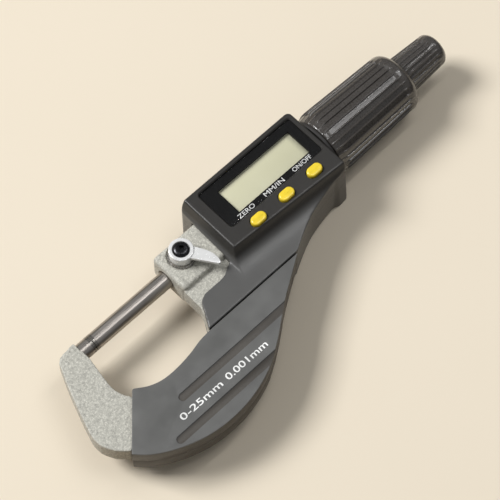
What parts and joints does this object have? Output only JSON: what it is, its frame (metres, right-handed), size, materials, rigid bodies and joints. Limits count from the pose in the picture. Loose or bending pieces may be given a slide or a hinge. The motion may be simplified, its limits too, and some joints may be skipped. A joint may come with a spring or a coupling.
{
  "type": "digital outside micrometer",
  "caption": "Digital outside micrometer: C-shaped frame, steel spindle driven by a fluted thimble and ratchet, spindle lock lever, and a display housing with push buttons.",
  "frame": {"origin": "on the flat back of the display housing, under the spindle axis", "axes": "+X along the spindle from the anvil to the ratchet, +Z from the flat back towards the display; the bow of the frame is on the -Y side"},
  "size_m": [0.1964, 0.07, 0.0267],
  "materials": {
    "casting": "hammered silver-grey paint on a casting",
    "carbide": "lapped carbide",
    "steel": "ground steel",
    "chrome": "bright chrome plate",
    "brass": "bare brass",
    "blackened": "blackened steel",
    "cover": "satin dark grey plastic",
    "housing": "satin near-black plastic",
    "grip": "satin black plastic",
    "mask": "glossy black",
    "window": "clear, glossy",
    "lcd": "pale green-grey liquid crystal panel",
    "board": "green solder mask",
    "rubber": "matte",
    "button": "smooth yellow"
  },
  "bodies": {
    "frame": {"frame": "casting", "anvil": "steel", "anvil_tip": "carbide", "front_bow_cover": "cover", "rear_bow_cover": "cover", "front_housing": "housing", "rear_housing": "housing", "display_window": "window", "display_mask": "mask", "lcd_panel": "lcd", "circuit_board": "board", "button_pad": "rubber", "threaded_sleeve": "steel", "adjusting_nut": "steel", "sleeve_collar": "grip", "encoder_stator": "board", "rotor_keeper": "brass", "lock_washer": "steel", "lock_pin": "brass", "battery": "steel", "contact_minus": "brass", "contact_plus": "brass", "back_screw_1": "blackened", "back_screw_2": "blackened", "back_screw_3": "blackened", "cover_screw_1": "blackened", "cover_screw_2": "blackened"},
    "rotor": {"encoder_rotor": "board", "rotor_hub": "brass", "rotor_key": "steel"},
    "spindle": {"spindle": "steel", "spindle_tip": "carbide", "thimble_tube": "steel", "thimble_grip": "grip", "ratchet_hub": "steel", "ratchet_screw": "blackened", "ratchet_spring": "steel"},
    "knob": {"ratchet_knob": "grip"},
    "pawl": {"ratchet_pawl": "steel"},
    "lock": {"lock_lever": "chrome", "lock_screw": "blackened"},
    "button_zero": {"button_zero": "button"},
    "button_units": {"button_units": "button"},
    "button_power": {"button_power": "button"},
    "battery_cover": {"battery_cover": "housing"}
  },
  "joints": [
    {"name": "rotor_spin", "type": "hinge", "parent": "frame", "child": "rotor", "pos_m": [-0.012, 0, 0.0134], "axis": [1, 0, 0], "range_deg": [0, 18000]},
    {"name": "spindle_travel", "type": "slide", "parent": "rotor", "child": "spindle", "axis": [1, 0, 0], "range_m": [0, 0.025]},
    {"name": "ratchet_turn", "type": "hinge", "parent": "spindle", "child": "knob", "pos_m": [0.088, 0, 0.0134], "axis": [1, 0, 0], "continuous": true},
    {"name": "pawl_click", "type": "slide", "parent": "spindle", "child": "pawl", "axis": [0, 0, -1], "range_m": [0, 0.0005], "stiffness_N_per_m": 400, "springref_m": -0.0005, "deforming": ["ratchet_spring"]},
    {"name": "lock_turn", "type": "hinge", "parent": "frame", "child": "lock", "pos_m": [-0.0304, 0.0008, 0.0224], "axis": [0, 0, 1], "range_deg": [-75, 0]},
    {"name": "button_zero_press", "type": "slide", "parent": "frame", "child": "button_zero", "axis": [0, 0, -1], "range_m": [0, 0.0005], "stiffness_N_per_m": 400, "springref_m": -0.0005},
    {"name": "button_units_press", "type": "slide", "parent": "frame", "child": "button_units", "axis": [0, 0, -1], "range_m": [0, 0.0005], "stiffness_N_per_m": 400, "springref_m": -0.0005},
    {"name": "button_power_press", "type": "slide", "parent": "frame", "child": "button_power", "axis": [0, 0, -1], "range_m": [0, 0.0005], "stiffness_N_per_m": 400, "springref_m": -0.0005},
    {"name": "battery_cover_turn", "type": "hinge", "parent": "frame", "child": "battery_cover", "pos_m": [0.0145, 0, 0.0008], "axis": [0, 0, -1], "range_deg": [0, 90]}
  ],
  "couplings": [
    {"joint": "rotor_spin", "follows": "spindle_travel", "rad_per_m": 12566}
  ]
}
